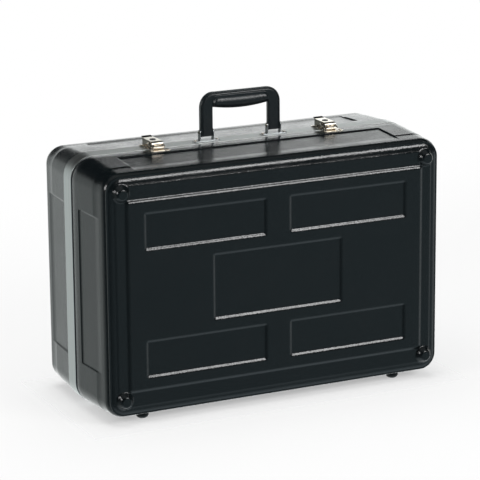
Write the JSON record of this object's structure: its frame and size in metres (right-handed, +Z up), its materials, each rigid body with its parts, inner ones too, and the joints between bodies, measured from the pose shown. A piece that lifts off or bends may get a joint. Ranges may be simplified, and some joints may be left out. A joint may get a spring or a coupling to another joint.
{
  "type": "telescope case",
  "caption": "Hard-shell carrying case for a telescope: hinged lid, draw latches with key locks, swinging padded handle, rubber feet and a cut foam lining.",
  "frame": {"origin": "on the floor under the middle of the box that holds the case, as it stands on the feet of its hinge side", "axes": "+X along the case's length, to the right of one who faces the lid; +Y from the lid's face to the base's face; +Z up, towards the handle"},
  "size_m": [0.636, 0.2866, 0.516],
  "materials": {
    "black_abs": "semi-gloss, fine moulded grain",
    "satin_aluminium": "satin",
    "nickel_plate": "polished nickel plate",
    "zinc_steel": "satin zinc plate",
    "black_rubber": "matte",
    "black_leather": "grained, stitched edges",
    "grey_foam": "matte open-cell foam"
  },
  "bodies": {
    "base": {"base_shell": "black_abs", "base_valance": "satin_aluminium", "rim_seal": "black_rubber", "base_foam": "grey_foam", "base_feet": "black_rubber", "base_foot_screws": "zinc_steel", "base_hinge_rivets": "nickel_plate", "latch_rivets": "nickel_plate", "bracket_rivets": "nickel_plate", "handle_backing_plate": "zinc_steel", "hinge_base_leaf_left": "nickel_plate", "hinge_base_leaf_right": "nickel_plate", "hinge_pin_left": "zinc_steel", "hinge_pin_right": "zinc_steel", "latch_plate_left": "nickel_plate", "latch_plate_right": "nickel_plate", "lever_stubs_left": "zinc_steel", "lever_stubs_right": "zinc_steel", "handle_bracket_left": "nickel_plate", "handle_bracket_right": "nickel_plate", "handle_pin_left": "nickel_plate", "handle_pin_right": "nickel_plate"},
    "lid": {"lid_shell": "black_abs", "lid_valance": "satin_aluminium", "lid_foam": "grey_foam", "lid_feet": "black_rubber", "lid_foot_screws": "zinc_steel", "keeper_rivets": "nickel_plate", "lid_hinge_rivets": "nickel_plate", "hinge_lid_leaf_left": "nickel_plate", "hinge_lid_leaf_right": "nickel_plate", "keeper_left": "nickel_plate", "keeper_right": "nickel_plate"},
    "handle": {"handle_core": "zinc_steel", "handle_grip": "black_leather"},
    "lever_left": {"latch_lever_left": "nickel_plate", "bail_pins_left": "zinc_steel"},
    "bail_left": {"bail_left": "nickel_plate"},
    "lock_left": {"key_plug_left": "nickel_plate", "lock_cam_left": "zinc_steel"},
    "lever_right": {"latch_lever_right": "nickel_plate", "bail_pins_right": "zinc_steel"},
    "bail_right": {"bail_right": "nickel_plate"},
    "lock_right": {"key_plug_right": "nickel_plate", "lock_cam_right": "zinc_steel"}
  },
  "joints": [
    {"name": "lid_hinge", "type": "hinge", "parent": "base", "child": "lid", "pos_m": [0, -0.00925, 0.0051], "axis": [1, 0, 0], "range_deg": [0, 100]},
    {"name": "handle_swing", "type": "hinge", "parent": "base", "child": "handle", "pos_m": [0, 0.00875, 0.4482], "axis": [1, 0, 0], "range_deg": [-90, 90]},
    {"name": "lever_left", "type": "hinge", "parent": "base", "child": "lever_left", "pos_m": [-0.163, -0.00775, 0.441], "axis": [1, 0, 0], "range_deg": [0, 100]},
    {"name": "bail_left", "type": "hinge", "parent": "lever_left", "child": "bail_left", "pos_m": [-0.163, 0.00025, 0.4422], "axis": [1, 0, 0], "range_deg": [-100, 0]},
    {"name": "key_left", "type": "hinge", "parent": "lever_left", "child": "lock_left", "pos_m": [-0.163, 0.00735, 0.443], "axis": [0, 0, 1], "range_deg": [0, 90]},
    {"name": "lever_right", "type": "hinge", "parent": "base", "child": "lever_right", "pos_m": [0.163, -0.00775, 0.441], "axis": [1, 0, 0], "range_deg": [0, 100]},
    {"name": "bail_right", "type": "hinge", "parent": "lever_right", "child": "bail_right", "pos_m": [0.163, 0.00025, 0.4422], "axis": [1, 0, 0], "range_deg": [-100, 0]},
    {"name": "key_right", "type": "hinge", "parent": "lever_right", "child": "lock_right", "pos_m": [0.163, 0.00735, 0.443], "axis": [0, 0, 1], "range_deg": [0, 90]}
  ],
  "couplings": [
    {"joint": "bail_left", "follows": "lever_left", "ratio": -1},
    {"joint": "bail_right", "follows": "lever_right", "ratio": -1}
  ]
}
